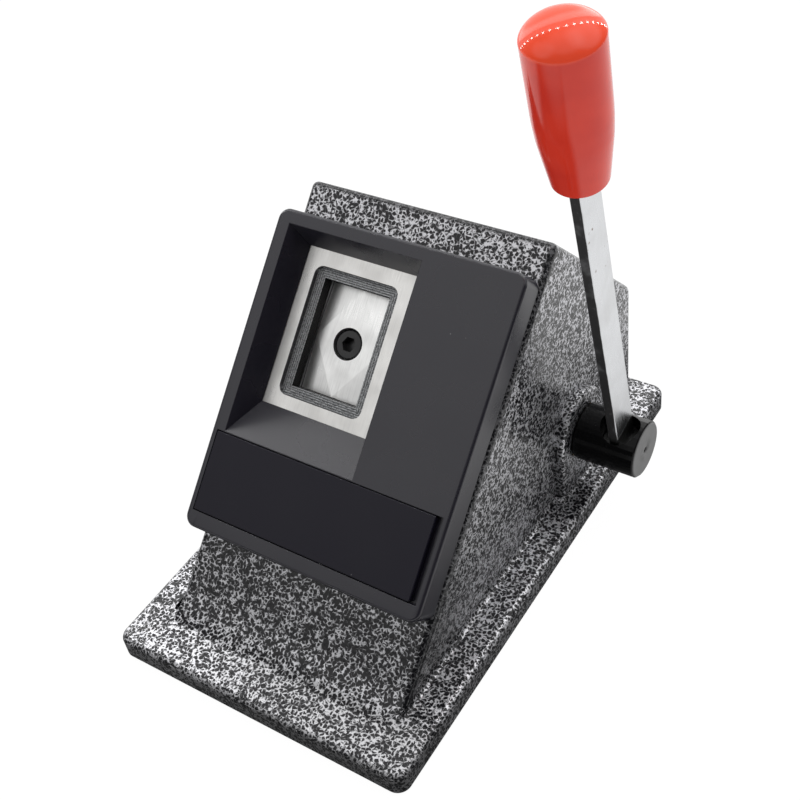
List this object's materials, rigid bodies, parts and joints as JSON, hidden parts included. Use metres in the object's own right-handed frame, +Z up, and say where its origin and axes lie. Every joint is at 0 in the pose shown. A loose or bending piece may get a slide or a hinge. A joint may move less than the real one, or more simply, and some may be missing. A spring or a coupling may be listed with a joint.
{
  "type": "passport photo cutter",
  "caption": "Desk punch with a sloping face: a side lever turns a crank that drives a rectangular punch up through a die plate and cuts passport photos from a print.",
  "frame": {"origin": "middle of the base's underside, on the surface that the cutter stands on", "axes": "+Z up; +X towards the lever's side; -Y towards the user, where the sloping face looks"},
  "size_m": [0.1679, 0.243, 0.2588],
  "materials": {
    "hammertone": "glossy hammertone enamel, charcoal with silver veins",
    "black_plastic": "satin-gloss moulded",
    "ground_steel": "ground",
    "machined_steel": "machined, oiled",
    "bearing_bronze": "turned",
    "black_oxide": "blackened, oiled",
    "zinc_sheet": "zinc plated",
    "black_rubber": "matt",
    "red_plastic": "glossy"
  },
  "bodies": {
    "housing": {"housing": "hammertone", "front_cover": "black_plastic", "label_bar": "black_plastic", "die_plate": "ground_steel", "die_screw_1": "black_oxide", "die_screw_2": "black_oxide", "die_screw_3": "black_oxide", "die_screw_4": "black_oxide", "guide_block": "machined_steel", "side_plate": "machined_steel", "side_plate_screw_1": "black_oxide", "side_plate_screw_2": "black_oxide", "side_plate_screw_3": "black_oxide", "stop_pin": "black_oxide", "inner_bush": "bearing_bronze", "outer_bush": "bearing_bronze", "return_spring": "machined_steel", "cover_screw_1": "black_oxide", "cover_screw_2": "black_oxide", "cover_screw_3": "black_oxide", "cover_screw_4": "black_oxide", "bottom_cover": "zinc_sheet", "bottom_screw_1": "black_oxide", "bottom_screw_2": "black_oxide", "bottom_screw_3": "black_oxide", "bottom_screw_4": "black_oxide", "base_pad": "black_rubber"},
    "lever": {"drive_shaft": "machined_steel", "hub": "black_oxide", "hub_key": "machined_steel", "lever": "ground_steel", "lever_screw": "black_oxide", "grip": "red_plastic", "shaft_collar": "machined_steel", "collar_screw": "black_oxide"},
    "ram": {"ram": "machined_steel", "punch": "ground_steel", "punch_screw": "black_oxide"}
  },
  "joints": [
    {"name": "lever_hinge", "type": "hinge", "parent": "housing", "child": "lever", "pos_m": [0, 0.0535, 0.0398], "axis": [1, 0, 0], "range_deg": [0, 75], "stiffness_Nm_per_rad": 0.45, "springref_deg": -51.57, "deforming": ["return_spring"]},
    {"name": "ram_slide", "type": "slide", "parent": "housing", "child": "ram", "axis": [0, -0.69, 0.7238], "range_m": [0, 0.00852]}
  ],
  "couplings": [
    {"joint": "ram_slide", "follows": "lever_hinge", "m_per_rad": 0.0065108}
  ]
}
